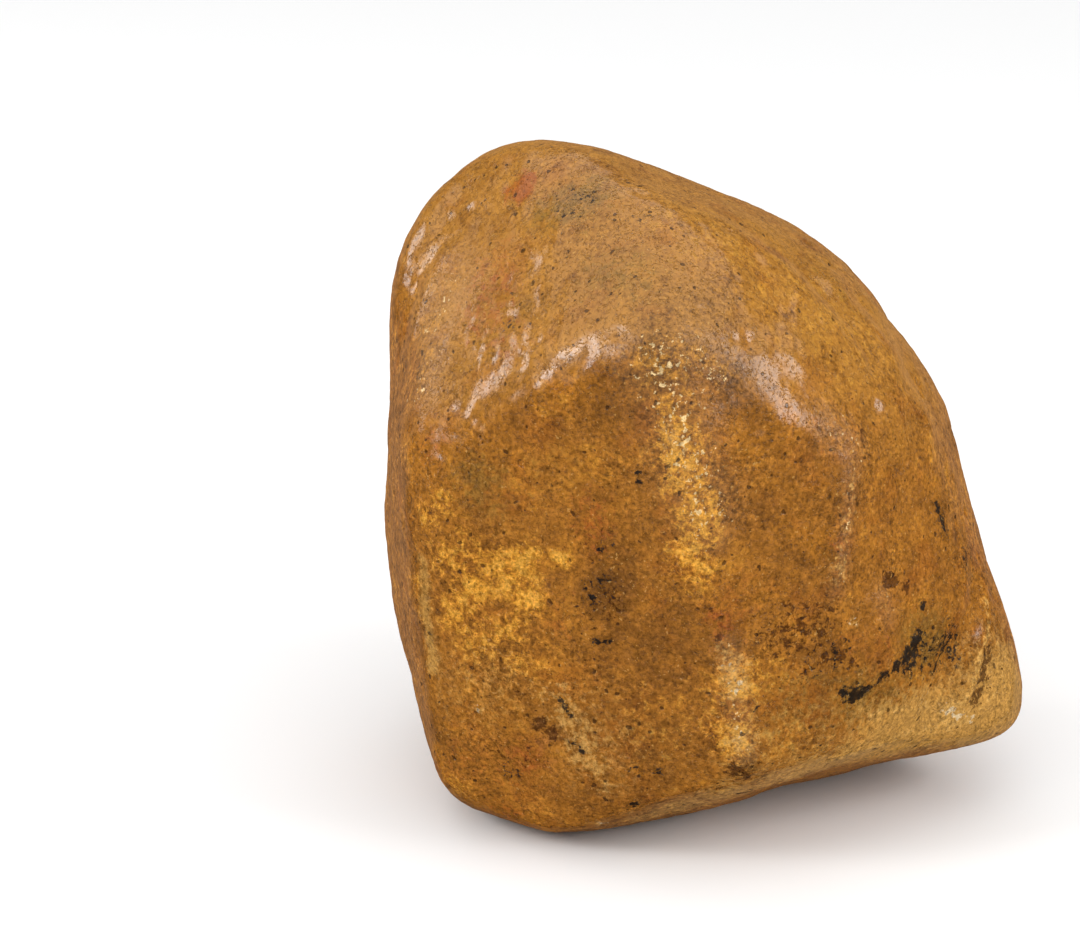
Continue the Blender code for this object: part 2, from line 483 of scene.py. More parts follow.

# %% [markdown]
# ## Where the colours lie
#
# The stains are as much a part of this stone as its shape: golden ochre where the skin is thin,
# rust and umber where iron gathered, olive clay, cream veins on the blunt ridge with a few
# painted glints among them, tan dust under the toe, where the tan is also painted light thrown
# up from the table, dark scabs, a little grey frost, and sooty black manganese in the cracks.
# Painting a picture on it would need an image. Here each stain is named by where it sits, how far
# it spreads and how strong it is, and kept as a value on the mesh's corners; the shader frays its
# edges later. The groups called back carry the same kinds of stain round the far side.

# %% Stains by place: azimuth, elevation, reach in mm, strength
STAINS = {
    "golden": {
        "patch": ((-37, 3, 3.2, 1.0), (-43, 2, 3.5, 0.7), (-35, -5, 3.0, 0.7), (-46, -4, 3.5, 0.9),
                  (-29, 4.6, 2.2, 0.8), (-40, -11, 3.0, 0.6), (-40, -3, 4.0, 0.5),
                  (-50, -10, 4.0, 0.7), (-51, 1, 3.5, 0.6), (-47, -16, 3.5, 0.5)),
        "cheek": ((-52, 12, 2.6, 0.7), (-55, 7, 3.0, 0.5), (-58, -6, 3.0, 0.5),
                  (-47, 5, 4.0, 0.35)),
        "ridge": ((-5, 27, 4.2, 0.7), (0, 18, 4.2, 0.9), (-2, 9, 4.2, 0.8), (-6, 34, 4.2, 0.5)),
        "lower": ((1, 1, 4, 0.4), (-38, -17, 7, 0.4), (8, -31, 4, 0.8), (9, -19, 5, 0.7),
                  (-10, -30, 12, 0.25), (24, -30, 12, 0.25)),
        "brow": ((0, 70, 14, 0.35), (40, 62, 14, 0.35), (66, 48, 12, 0.3)),
        "heel": ((-56, -42, 4, 0.5), (-40, -46, 6, 0.2)),
        "back": ((172, 6, 7, 0.7), (163, -10, 6, 0.6), (-150, 20, 6, 0.6), (121, -6, 7, 0.6),
                 (-115, -12, 7, 0.5), (-122, 38, 8, 0.5), (165, 60, 9, 0.4)),
    },
    "umber": {
        "patch": ((-44, -1.5, 2.0, 0.8), (-41, -7, 2.4, 0.8), (-47, -13, 3.0, 0.6),
                  (-31, -1, 2.6, 0.7), (-37, -14, 4.0, 0.6), (-52, -4, 2.0, 0.6)),
        "blot": ((-22, 7, 5, 0.8), (-20, -2, 5, 0.7), (-17, 2, 4, 0.5), (-19, 12, 4, 0.5)),
        "arch": ((-16, 38, 7, 0.7), (-10, 48, 7, 0.9), (0, 51, 8, 0.9), (14, 40, 7, 0.6),
                 (-5, 56, 6, 0.6), (3, 58, 5, 0.5), (-8, 43, 6, 0.6), (5, 45, 7, 0.6)),
        "back": ((-170, 28, 10, 0.6), (150, 30, 9, 0.5), (178, -24, 10, 0.5), (112, 20, 8, 0.4),
                 (-112, 15, 8, 0.5), (-130, -12, 9, 0.5)),
        "front": ((0, -12, 10, 0.2), (-14, -8, 12, 0.25), (14, -4, 12, 0.25), (24, 8, 9, 0.3)),
        "corner": ((32, -15, 7, 0.6), (44, -12, 6, 0.4), (28, -24, 8, 0.3)),
        "heel": ((-35, -31, 3, 0.8), (-32, -33, 3, 0.8), (-24, -43, 8, 0.5), (10, -38, 4, 0.9),
                 (-58, -32, 8, 0.4), (-39, -38, 4, 0.5)),
        "foot": ((-13, -26, 8, 0.2), (2, -40, 8, 0.2)),
    },
    "rust": {
        "spot": ((-82, 62, 2.6, 1.0), (-79.5, 61, 2.4, 1.0), (-84, 59, 1.8, 0.8)),
        "flank": ((-66, 51, 8, 0.45), (-49, 41, 8, 0.35), (-62, 44, 7, 0.4), (-56, 20, 8, 0.35)),
        "front": ((7, -2, 7, 0.35), (3, -4, 3, 0.3), (6, -9, 3, 0.3), (34, -15, 4, 0.35),
                  (-42, -8, 3, 0.4), (-40, 1, 1.6, 0.5), (-23, 10, 4, 0.35), (-30, -8, 6, 0.4),
                  (-24, 16, 8, 0.4)),
        "heel": ((-38, -37, 7, 0.5), (-52, -37, 6, 0.35), (-46, -48, 8, 0.45), (45, -18, 5, 0.4)),
        "ridge": ((33, 8, 4, 0.4), (33, 33, 7, 0.3), (8, -17, 4, 0.5)),
        "back": ((140, -18, 8, 0.7), (-175, 12, 6, 0.6), (-117, 4, 7, 0.6), (-140, 50, 8, 0.6),
                 (125, 40, 7, 0.5), (-152, -26, 7, 0.5)),
    },
    "olive": {
        "cheek": ((-47, 18, 7, 0.7), (-43, 15, 6, 0.5), (-30, 22, 7, 0.35)),
        "peak": ((-61, 65, 6, 0.8), (-56, 69, 6, 0.7), (-68, 62, 5, 0.6), (-51, 48, 4, 0.6)),
        "brow": ((-31, 57, 8, 0.5), (-19, 57, 8, 0.5), (75, 62, 9, 0.4), (59, 26, 8, 0.3)),
        "foot": ((35, -27, 7, 0.6), (22, -26, 9, 0.6), (-11, -34, 7, 0.4), (60, -20, 7, 0.9),
                 (48, -27, 6, 0.8), (53, -18, 5, 0.5), (40, -26, 6, 0.6)),
        "back": ((-160, -10, 8, 0.6), (112, -14, 6, 0.5), (165, 45, 9, 0.6), (-128, 28, 6, 0.5)),
    },
    "cream": {
        "ridge": ((6, -13, 2.4, 0.7), (8, -17, 3.0, 1.0), (9, -21, 2.6, 0.9), (10, -32, 2.6, 0.9)),
        # The core flecks are painted glints, where the wet middle ridge catches the light.
        "core": ((-7, 33, 2.4, 0.6), (-5, 29.5, 2.4, 0.7), (-2, 26.5, 2.2, 0.7)),
        "heel": ((-30, -26, 3.2, 0.8), (-28, -31, 3.4, 0.8), (-25, -36, 3.2, 0.8),
                 (-23, -39, 2.6, 0.8), (-20, -42.5, 2.2, 0.7)),
        "side": ((37, 20, 2.4, 0.4), (35, 12, 2.6, 0.5), (32, 4, 2.6, 0.6), (31, 0, 2.0, 0.6)),
        "toe": ((65, -33, 2.6, 0.9), (68, -34, 2.6, 0.8), (-25, -52, 1.8, 0.9)),
        "chips": ((-47, -28, 1.2, 0.9), (54, -10, 1.2, 0.6), (37, -10.5, 2.2, 0.7)),
        "flecks": ((-44, -20, 10, 0.34), (-22, -32, 11, 0.30), (16, -34, 11, 0.28)),
        "back": ((158, 14, 2.6, 0.8), (160, 8, 3.0, 0.7), (162, 1, 2.6, 0.7), (-118, -22, 3.0, 0.7),
                 (-121, -28, 2.6, 0.6)),
    },
    "frost": {
        "toe": ((64.5, -32.6, 1.3, 1.0), (67, -33.4, 1.1, 1.0), (69.5, -34, 1.0, 0.9)),
        "heel": ((-25, -52, 1.3, 0.9), (-47, -28, 0.8, 0.9)),
        "ridge": ((7, -16, 1.6, 0.6), (9, -20, 1.6, 0.6), (10, -31, 1.4, 0.6),
                  (37, -10.5, 1.4, 0.6)),
    },
    "tan": {
        # The toe, under and foot groups are partly tan dust and partly painted light, thrown up
        # onto the underside from the white table.
        "toe": ((78, -30, 9, 1.0), (72, -35, 8, 0.9)),
        "under": ((46, -34, 4, 0.35), (52, -35, 6, 0.6), (60, -35, 6, 0.9), (54, -38, 8, 0.8),
                  (41, -42, 8, 0.75), (26, -44, 7, 0.7), (10, -48, 7, 0.6)),
        "foot": ((-3, -54, 7, 0.6), (-17, -56, 6, 0.4)),
        "dust": ((-48, -24, 13, 0.34), (-22, -36, 13, 0.34), (14, -32, 13, 0.32),
                 (36, -30, 9, 0.30)),
    },
    "scab": {
        "drops": ((47.5, -3.6, 1.7, 1.0), (49.5, -4.5, 1.5, 1.0), (53, -7, 1.3, 1.0)),
        "heel": ((-35, -31, 1.8, 0.8), (-32, -33, 1.4, 0.8), (-38, -25, 1.4, 0.6),
                 (-38, -37, 4.0, 0.34), (-45, -36, 4.0, 0.36)),
        "middle": ((2, -7, 1.3, 0.6), (5, -10, 1.3, 0.6), (3, -3, 1.2, 0.5)),
        "corner": ((29, -17, 1.6, 0.6), (33, -17, 1.6, 0.7), (36, -19, 1.4, 0.7),
                   (25, -20, 2.0, 0.4)),
        "foot": ((10, -38, 2.6, 0.8), (13, -40, 2.0, 0.6), (44, 31, 1.4, 0.7)),
        "cracks": ((20, -7, 6, 0.32), (30, -7, 5, 0.30), (15, -12, 5, 0.30), (25, -13, 6, 0.34),
                   (-19, -1, 5, 0.30), (-22, -6, 5, 0.30), (-24, 9, 4, 0.30),
                   (-168, 18, 7, 0.34), (142, 4, 6, 0.34)),
        "back": ((-165, -2, 2.6, 0.7), (128, 6, 2.4, 0.7), (-120, 20, 2.2, 0.7),
                 (-162, 3, 1.8, 0.7)),
    },
    "soot": {
        "vein": ((36.6, -26, 1.9, 1.0), (34, -24.4, 1.2, 1.0), (39.5, -25.6, 1.4, 1.0),
                 (44.3, -23.4, 1.0, 0.9), (53.5, -21.5, 2.0, 1.0), (52.5, -24, 1.6, 0.9),
                 (55.7, -19, 1.5, 1.0), (49, -22.6, 1.4, 0.8)),
        "fuzz": ((60, -25, 3.2, 0.42), (66, -19, 3.2, 0.45), (63, -21, 3.4, 0.45),
                 (67, -23.6, 3.0, 0.42), (56, -22, 4.0, 0.35)),
        "side": ((70, 5, 2.4, 0.5), (70, 0, 2.4, 0.5), (76, -8, 2.4, 0.5), (80, -7, 1.6, 0.5)),
        "spots": ((58.1, -12.5, 1.0, 1.0), (-13.1, 25.3, 0.8, 1.0), (-12.9, 23.4, 0.8, 1.0)),
        "corner": ((27, -18, 4.0, 0.30), (33, -16, 3.0, 0.42), (-43, -40, 1.8, 0.6),
                   (-13.5, -39.5, 2.0, 0.45), (-8, -39, 1.8, 0.45), (-15.3, -47.5, 1.1, 0.9)),
        "blot": ((-20, 9, 2.4, 0.42), (-20, 1, 3.4, 0.42), (-23, -3, 3.0, 0.42),
                 (-61, 66, 4.0, 0.30), (-52, 67, 3.6, 0.30), (-55, 62, 3.0, 0.30),
                 (-30, 69, 3.0, 0.34), (-52, 44, 2.4, 0.38), (14, -25, 2.4, 0.34),
                 (30, -35, 2.4, 0.38)),
        "back": ((150, -4, 2.4, 0.9), (146, -8, 1.8, 0.8), (-146, 8, 2.2, 0.5),
                 (-112, 26, 2.0, 0.5), (140, -6, 4.0, 0.4), (175, 38, 3.0, 0.42)),
    },
}

# %% Veins: stations of azimuth and elevation, reach in mm, strength
VEINS = {
    "soot": {
        "main": (((38, -26), (43, -25), (47, -23.5), (51, -22), (55, -20), (57, -16)), 0.7, 0.45),
        "upper": (((69.5, 7), (70, 4), (70, 1), (71, -1)), 0.7, 0.6),
        "dash": (((-22.5, -12.5), (-20.5, -12.9), (-19, -12.8)), 0.65, 0.9),
        "hook": (((-31, -25.5), (-29.5, -26.8), (-28.8, -28.4), (-28, -30)), 0.6, 0.8),
        "under": (((9, -49), (14, -50), (20, -50)), 0.7, 0.6),
        "back": (((152, -2), (146, -8), (138, -11), (130, -17)), 0.8, 0.6),
        "left": (((-108, 30), (-113, 22), (-112, 14)), 0.7, 0.55),
        "heel": (((-30, -33.8), (-27.5, -34.6), (-25.5, -36)), 0.5, 0.8),
    },
    "cream": {
        # Pale along the toe's ledges: partly cream vein and partly painted highlight on their
        # edges.
        "ledge": (FOLDS["ledge"][0], 0.7, 0.9),
        "second": (FOLDS["second"][0], 0.6, 0.8),
        "band": (((42, -31.5), (46, -31), (52, -31.5), (60, -32.5)), 1.0, 0.7),
        "under": (((66, -35), (56, -37), (44, -40), (34, -43)), 1.5, 0.6),
        "side": (((38, 22), (36, 14), (33, 5), (31, -1)), 1.2, 0.3),
    },
    "scab": {
        # The scab colour also runs along the toe's groove as a thin darker line.
        "groove": (FOLDS["groove"][0], 1.5, 0.70),
    },
    "tan": {
        "edge": (((-56, -1), (-56.5, -11), (-56, -21)), 1.8, 0.7),
    },
}


# %% Keep the stains on the mesh
PLAIN_TO_SEE = 0.4


def keep_field(name, amount):
    """Store one number per mesh corner, for the shader to read."""
    field = stone_mesh.attributes.new(name, "FLOAT", "POINT")
    field.data.foreach_set("value", amount.astype(np.float32))
    print(f"{name} covers {(amount > PLAIN_TO_SEE).mean():.1%} of the skin")


for name, groups in STAINS.items():
    spots = [spot for group in groups.values() for spot in group]
    lines = VEINS.get(name, {}).values()
    keep_field(name, coverage(ball, reach, spots, lines))

# %% [markdown]
# Two more fields follow the shape. Dust pales the skin that looks upwards, and the same field
# carries a painted sheen there, the light of the bright room above painted into the colour, so it
# is read from the slope of the block. The broken ridges carry their own colours and painted
# glints, so the other field is the one that raised the flakes.

# %% Pale upper skin, and the broken ridges
PALE_TOP_STARTS = 0.28     # how far up a face looks, 0 level and 1 straight up, where it starts to pale
PALE_TOP_DEEPENS = 0.34    # how much further up it looks where it is fully pale

_, outward = faces_blend(ball * reach[:, None])
upward_share = outward[:, 2] / np.linalg.norm(outward, axis=1)
dust_and_sheen = np.clip((upward_share - PALE_TOP_STARTS) / PALE_TOP_DEEPENS, 0.0, 1.0)
# Paleness of the skin that looks up: partly dust, partly a painted sheen of the light from above.
keep_field("dust_and_sheen", dust_and_sheen ** 2 * (3.0 - 2.0 * dust_and_sheen))
keep_field("broken", broken)

# %% [markdown]
# ## The stone's finish
#
# Jasper is fine-grained silica, so water gives it a waxy gloss, and iron in it gives the honey
# brown. The gloss is broken by grain a fraction of a millimetre across, too fine for a mesh, so
# that part is bump. The colour is built up as a stone stains: one tone drifts from umber to
# gold over several sizes at once, the golden and umber stains push it up or down, and then dust,
# clay, rust, veins and soot lie over it, in the order they formed in. Painted light is laid in
# too: a sheen on the upper skin, light thrown up under the toe, glints on the ridges and grains,
# and shade in the creases.

# %% Paint in plain numbers: each stain's colour and strength, and the tone's colours by place
PAINTS = {
    "dust_and_sheen": ("#B78139", 0.68),
    "olive": ("#6E5926", 0.52),
    "rust": ("#9E4216", 0.62),
    "tan": ("#C4954C", 0.70),
    "cream": ("#DCAA5C", 0.60),
    "gold": ("#D6952F", 0.55),
    "painted_glint": ("#F0CF94", 0.80),
    "frost": ("#D6C7A6", 0.60),
    "scab": ("#4E2B0F", 0.80),
    "smoke": ("#2E1B0A", 0.45),
    "soot": ("#180F05", 0.92),
    "pore": ("#2E1B0A", 0.75),
    "grit": ("#2E1B0A", 0.45),
    "painted_sparkle": ("#DCAA5C", 0.40),
}
TONES = ((0.10, "#36240F"), (0.30, "#6A431A"), (0.43, "#8F5B20"), (0.54, "#A96D25"),
         (0.68, "#CC8B2B"), (0.90, "#E8A93F"))


def paint(code):
    """A colour code as linear light: ((c + 0.055) / 1.055)^2.4, or c / 12.92 near black."""
    srgb = np.array([int(code[i:i + 2], 16) for i in (1, 3, 5)]) / 255.0
    linear = np.where(srgb > 0.04045, ((srgb + 0.055) / 1.055) ** 2.4, srgb / 12.92)
    return (*linear, 1.0)


print("middle brown in linear light:", np.round(paint(TONES[2][1]), 3))

# %% Helpers for the shader
stone_paint = bpy.data.materials.new("jasper")
stone_paint.use_nodes = True
tree = stone_paint.node_tree
shader = tree.nodes["Principled BSDF"]
where = tree.nodes.new("ShaderNodeTexCoord").outputs["Object"]


def plug(socket, value):
    """Link a socket, or set a plain number or colour on it."""
    if isinstance(value, bpy.types.NodeSocket):
        tree.links.new(value, socket)
    else:
        socket.default_value = value


def math(operation, first, second=0.0, third=0.0):
    """One Math node."""
    step = tree.nodes.new("ShaderNodeMath")
    step.operation = operation
    for socket, value in zip(step.inputs, (first, second, third)):
        plug(socket, value)
    return step.outputs[0]


def times(first, second):
    """One value times another."""
    return math("MULTIPLY", first, second)


def add(*values):
    """The sum of two values or more, by a chain of Math nodes."""
    total = values[0]
    for value in values[1:]:
        total = math("ADD", total, value)
    return total


def noise(size, octaves, fade, curl=0.0):
    """Noise about 0..1, whose lumps are size metres apart; each octave fades by the same share."""
    step = tree.nodes.new("ShaderNodeTexNoise")
    plug(step.inputs["Vector"], where)
    step.inputs["Scale"].default_value = 1.0 / size
    step.inputs["Detail"].default_value = octaves
    step.inputs["Roughness"].default_value = fade
    step.inputs["Distortion"].default_value = curl
    return step.outputs[0]


def ramp(value, low, high):
    """0 below low, 1 above high, an S curve between."""
    step = tree.nodes.new("ShaderNodeMapRange")
    step.interpolation_type = "SMOOTHSTEP"
    plug(step.inputs["Value"], value)
    step.inputs["From Min"].default_value = low
    step.inputs["From Max"].default_value = high
    return step.outputs[0]


def swing(value, amount):
    """amount * (value - 0.5): noise turned into a push either way."""
    return times(math("SUBTRACT", value, 0.5), amount)


def mix(share, under, over, kind="MIX"):
    """One colour over another, by a share of 0..1."""
    step = tree.nodes.new("ShaderNodeMix")
    step.data_type = "RGBA"
    step.blend_type = kind
    plug(step.inputs[0], share)
    plug(step.inputs[6], under)
    plug(step.inputs[7], over)
    return step.outputs[2]


def attribute(name):
    """A value kept on the mesh's corners."""
    step = tree.nodes.new("ShaderNodeAttribute")
    step.attribute_name = name
    return step.outputs["Fac"]


# %% [markdown]
# A stain kept on the mesh has a soft round edge, and no real one has. Noise pushes its value up
# and down before a limit is taken, so the edge breaks up into islands and bays. A fine noise gives
# flecks, and a coarse one gives patches. A low limit spreads the stain, and a high one leaves
# only splinters where it is strongest.

# %% How each stain frays: push of the noise, where it starts, where it is full
FRAYS = {
    "golden": (2.8, 0.20, 0.90),
    "umber": (2.2, 0.15, 0.95),
    "olive": (3.0, 0.30, 1.00),
    "rust": (2.6, 0.25, 0.95),
    "tan": (1.6, 0.20, 0.80),
    "cream": (3.2, 0.45, 1.10),
    "gold": (3.0, 0.70, 1.30),
    "painted_glint": (4.0, 1.24, 1.42),
    "frost": (3.6, 0.65, 0.95),
    "scab": (2.4, 0.40, 0.60),
    "soot": (3.2, 0.48, 0.70),
}
CLEAN, TOUCHED = 0.02, 0.22    # below the first there is no stain, so noise alone makes none


def frayed(name, field, edge):
    """Where a field, pushed about by noise, passes a stain's limits."""
    push, starts, full = FRAYS[name]
    pushed = add(field, swing(edge, push))
    return times(ramp(pushed, starts, full), ramp(field, CLEAN, TOUCHED))


def lay(colour, name, cover):
    """A named paint over a colour where it covers, at most as strong as the paint is."""
    code, strength = PAINTS[name]
    return mix(times(cover, strength), colour, paint(code))


# %% [markdown]
# The tone adds noise of three sizes: zones 2 cm across, blotches of 6 mm and a mottle under 2 mm.
# The mottle is stronger in patches, and where the skin is golden or umber, because there it is
# worn through. Gold and umber are only a push along the same scale, so they break up like the
# rest of the skin.

# %% Tone of the body
MIDDLE_TONE = 0.50
ZONES, BLOTCHES, EVEN_MOTTLE, PATCHY_MOTTLE = 0.22, 0.45, 0.46, 0.27
TO_GOLD, TO_UMBER = 0.29, -0.10

zones = noise(size=0.0210, octaves=3.0, fade=0.55, curl=0.4)
blotches = noise(size=0.0062, octaves=4.0, fade=0.66, curl=0.6)
mottle = noise(size=0.0018, octaves=6.0, fade=0.77, curl=0.4)
patches = ramp(noise(size=0.0090, octaves=3.0, fade=0.60, curl=0.3), 0.38, 0.62)
golden = attribute("golden")
umber = attribute("umber")
worn = math("MAXIMUM", patches, math("MAXIMUM", golden, umber))
tone = add(
    MIDDLE_TONE,
    swing(zones, ZONES),
    swing(blotches, BLOTCHES),
    times(swing(mottle, 1.0), add(EVEN_MOTTLE, times(worn, PATCHY_MOTTLE))),
)
for name, field, push in (("golden", golden, TO_GOLD), ("umber", umber, TO_UMBER)):
    tone = add(tone, times(frayed(name, field, mottle), push))

# %% From tone to colour
tone_scale = tree.nodes.new("ShaderNodeValToRGB")
plug(tone_scale.inputs[0], tone)
stops = tone_scale.color_ramp.elements
while len(stops) < len(TONES):
    stops.new(0.5)
for stop, (position, code) in zip(stops, TONES):
    stop.position = position
    stop.color = paint(code)
colour = tone_scale.outputs[0]

# %% [markdown]
# The oldest stains lie lowest. Skin that looks up is paled by dust, and also by a painted sheen,
# the light of the bright room above. Olive clay has settled in the low places. Iron has rusted,
# faintly all over and strongly in a few spots. Tan dust has collected under the toe, and the tan
# there is also painted light, thrown up onto the underside from the white table.

# %% Pale upper skin with painted sheen, clay, rust, and tan with painted light from below
DUST_AND_SHEEN_GRAINS = 0.8
BLUSH = 0.12

grain = noise(size=0.00085, octaves=3.0, fade=0.70)
dust_and_sheen_field = attribute("dust_and_sheen")
dust_and_sheen_patches = ramp(add(blotches, swing(grain, DUST_AND_SHEEN_GRAINS)), 0.15, 0.60)
# Painted sheen: the upward skin is paled partly as dust and partly as the light of the room above.
colour = lay(colour, "dust_and_sheen", times(dust_and_sheen_field, dust_and_sheen_patches))
colour = lay(colour, "olive", frayed("olive", attribute("olive"), mottle))
rust_code, rust_strength = PAINTS["rust"]
spots = times(frayed("rust", attribute("rust"), mottle), rust_strength)
reds = noise(size=0.0100, octaves=3.0, fade=0.60, curl=0.5)
blush = times(ramp(reds, 0.50, 0.68), BLUSH)
colour = mix(math("MAXIMUM", spots, blush), colour, paint(rust_code))
colour = lay(colour, "tan", frayed("tan", attribute("tan"), mottle))

# %% [markdown]
# Next come the marks of a few millimetres: cream veins, the broken ridges, frost, scabs and soot.
# A broken ridge is golden where it is rubbed, partly its own colour and partly painted glint, and
# its small pale flecks are painted glints where the wet grains catch the light. Soot
# is manganese that grew into the pores, so a dim smoke lies round its black core.

# %% Veins, broken ridges, scabs and soot
chips = noise(size=0.0013, octaves=4.0, fade=0.66)
fleck_noise = noise(size=0.0011, octaves=3.0, fade=0.62)
twigs = noise(size=0.0012, octaves=4.0, fade=0.70, curl=0.4)
rubbed_and_glinting = attribute("broken")
sooty = attribute("soot")
marks = {
    "cream": (attribute("cream"), chips),
    # Gold on the broken ridges is partly their rubbed colour and partly painted glint.
    "gold": (rubbed_and_glinting, mottle),
    # Pale flecks on the broken ridges: painted glints, where wet grains catch the light.
    "painted_glint": (rubbed_and_glinting, fleck_noise),
    "frost": (attribute("frost"), fleck_noise),
    "scab": (attribute("scab"), twigs),
}
for name, (field, edge) in marks.items():
    colour = lay(colour, name, frayed(name, field, edge))
smoke = times(ramp(sooty, 0.10, 0.90), ramp(mottle, 0.35, 0.60))
colour = lay(colour, "smoke", smoke)
soot = frayed("soot", sooty, twigs)
colour = lay(colour, "soot", soot)

# %% [markdown]
# Grain under a millimetre then lightens and darkens all of it. It is deepest where the skin is
# worn, and almost gone on the pale upper skin with its painted sheen.

# %% Grain
PLAIN_GRAIN, WORN_GRAIN, PALE_TOP_GRAIN = 1.6, 0.9, -1.1
MEAN_SHADE = 0.87

depth = add(PLAIN_GRAIN, times(worn, WORN_GRAIN), times(dust_and_sheen_field, PALE_TOP_GRAIN))
shade = add(MEAN_SHADE, times(swing(grain, 1.0), depth))
colour = mix(1.0, colour, shade, "MULTIPLY")

# %% [markdown]
# Last come the pores, painted shade in the creases between the wrinkles, single dark grains,
# and painted glints on single bright grains. The pores are cells of a Voronoi pattern, each with
# its own random size, and nearly half of them are left out, where that size is below nought.
# Noise bends the pattern a little, so that no pore is a true circle.

# %% Fine pores
PORE_SPACING = 0.0021
BEND_SIZE, BEND = 0.0011, 0.0008
PORE_SIZES, LEFT_OUT = 0.46, 0.20    # size in cells: a random share of one, less the other
PORE_EDGE = 0.07

wobble = tree.nodes.new("ShaderNodeTexNoise")
plug(wobble.inputs["Vector"], where)
wobble.inputs["Scale"].default_value = 1.0 / BEND_SIZE
wobble.inputs["Detail"].default_value = 0.0
bent = tree.nodes.new("ShaderNodeVectorMath")
bent.operation = "MULTIPLY_ADD"
plug(bent.inputs[0], wobble.outputs["Color"])
bent.inputs[1].default_value = (BEND, BEND, BEND)
plug(bent.inputs[2], where)
cells = tree.nodes.new("ShaderNodeTexVoronoi")
plug(cells.inputs["Vector"], bent.outputs[0])
cells.inputs["Scale"].default_value = 1.0 / PORE_SPACING
picked = tree.nodes.new("ShaderNodeSeparateColor")
plug(picked.inputs[0], cells.outputs["Color"])
pore_size = math("SUBTRACT", times(picked.outputs[0], PORE_SIZES), LEFT_OUT)
pore = ramp(math("SUBTRACT", pore_size, cells.outputs["Distance"]), 0.0, PORE_EDGE)

# %% Painted shade in the creases, pores, grit and painted glints
CREASE_SHADE, CREASE_LIFT = 0.85, 0.16

wrinkle = ramp(noise(size=0.0010, octaves=3.0, fade=0.60, curl=1.6), 0.36, 0.45)
# Painted shade: the colour is darker in the creases between the wrinkles.
colour = mix(1.0, colour, math("MULTIPLY_ADD", wrinkle, CREASE_LIFT, CREASE_SHADE), "MULTIPLY")
colour = lay(colour, "pore", pore)
grit = math("SUBTRACT", 1.0, ramp(noise(size=0.0008, octaves=2.0, fade=0.60), 0.30, 0.38))
colour = lay(colour, "grit", grit)
# Painted glints: single bright grains that catch the light.
painted_sparkles = ramp(noise(size=0.00075, octaves=2.0, fade=0.60), 0.66, 0.72)
colour = lay(colour, "painted_sparkle", painted_sparkles)
plug(shader.inputs["Base Color"], colour)

# %% [markdown]
# A worn skin is wrinkled like orange peel. Each wrinkle here has a flat top and a narrow crease,
# so the tops keep a clear sheen and the creases break it up. Rounded bumps would spread the sheen
# until it was gone. The rest of the bump is fine grain, splintered ridges and the pores.

# %% Bump
BUMP_HEIGHT = 0.00030
WRINKLE, FINE, SPLINTERED, PITTED = 0.32, 0.06, 1.2, 0.4    # shares of that height

fine = noise(size=0.00060, octaves=2.0, fade=0.60)
frets = noise(size=0.0012, octaves=3.0, fade=0.72)
height = add(times(wrinkle, WRINKLE), times(fine, FINE))
height = add(height, times(times(rubbed_and_glinting, frets), SPLINTERED))
height = math("SUBTRACT", height, times(pore, PITTED))
bump = tree.nodes.new("ShaderNodeBump")
bump.inputs["Strength"].default_value = 1.0
bump.inputs["Distance"].default_value = BUMP_HEIGHT
plug(bump.inputs["Height"], height)
plug(shader.inputs["Normal"], bump.outputs[0])

# %% [markdown]
# The gloss is clear on the worn skin and uneven from one fleck to the next. Soot and broken
# ridges are dull. So is the skin where it turns away from the eye, near the outline: a clear gloss
# there would draw a hard white rim round the stone.

# %% Gloss
CLEAREST = 0.11
UNEVEN, TURNED_AWAY, BROKEN_DULL, SOOT_DULL = 0.12, 0.55, 0.40, 0.30
GLOSS_LEVEL = 0.35

outline = tree.nodes.new("ShaderNodeLayerWeight")
outline.inputs["Blend"].default_value = 0.5
turned = ramp(outline.outputs["Facing"], 0.50, 0.85)
roughness = add(
    CLEAREST,
    times(ramp(mottle, 0.40, 0.62), UNEVEN),
    times(turned, TURNED_AWAY),
    times(rubbed_and_glinting, BROKEN_DULL),
    times(soot, SOOT_DULL),
)
plug(shader.inputs["Roughness"], roughness)
shader.inputs["Specular IOR Level"].default_value = GLOSS_LEVEL
stone_mesh.materials.append(stone_paint)
print("shader steps:", len(tree.nodes))

# %% [markdown]
# ## Studio
#
# The stone stands on a round sheet of white paper under one wide soft light overhead. Most of the
# light on its sides is thrown back by the paper. The sheet is wide and its rim curves up, so it
# fills the view from every low angle with no horizon and no dark band. It is left out of the
# stone's gloss, where so wide a sheet would lie over the honey brown like a grey veil.

# %% Table: a round sheet of white paper whose rim curves up, in metres
FLAT_RADIUS, RIM_RADIUS, RIM_HEIGHT = 1.5, 4.0, 0.45
INNER_RINGS, RIM_RINGS, TURNS = [0.05, 0.5], 20, 96
TABLE_TOP = -0.0002
PAPER_WHITE, PAPER_ROUGHNESS = 0.90, 0.8

rings = np.concatenate([INNER_RINGS, np.linspace(FLAT_RADIUS, RIM_RADIUS, RIM_RINGS)])
up_the_rim = np.clip(rings - FLAT_RADIUS, 0.0, None) / (RIM_RADIUS - FLAT_RADIUS)
lift = TABLE_TOP + RIM_HEIGHT * up_the_rim ** 2
turn = 2.0 * np.pi * np.arange(TURNS) / TURNS
sheet = np.stack([
    np.outer(rings, np.cos(turn)),
    np.outer(rings, np.sin(turn)),
    np.outer(lift, np.ones(TURNS)),
], axis=-1).reshape(-1, 3)
number = np.arange(len(sheet)).reshape(len(rings), TURNS)
beside = np.roll(number, -1, axis=1)
bands = np.stack([number[:-1], number[1:], beside[1:], beside[:-1]], axis=-1).reshape(-1, 4)
table_mesh = bpy.data.meshes.new("table")
table_mesh.from_pydata(sheet.tolist(), [], bands.tolist() + [number[0].tolist()])
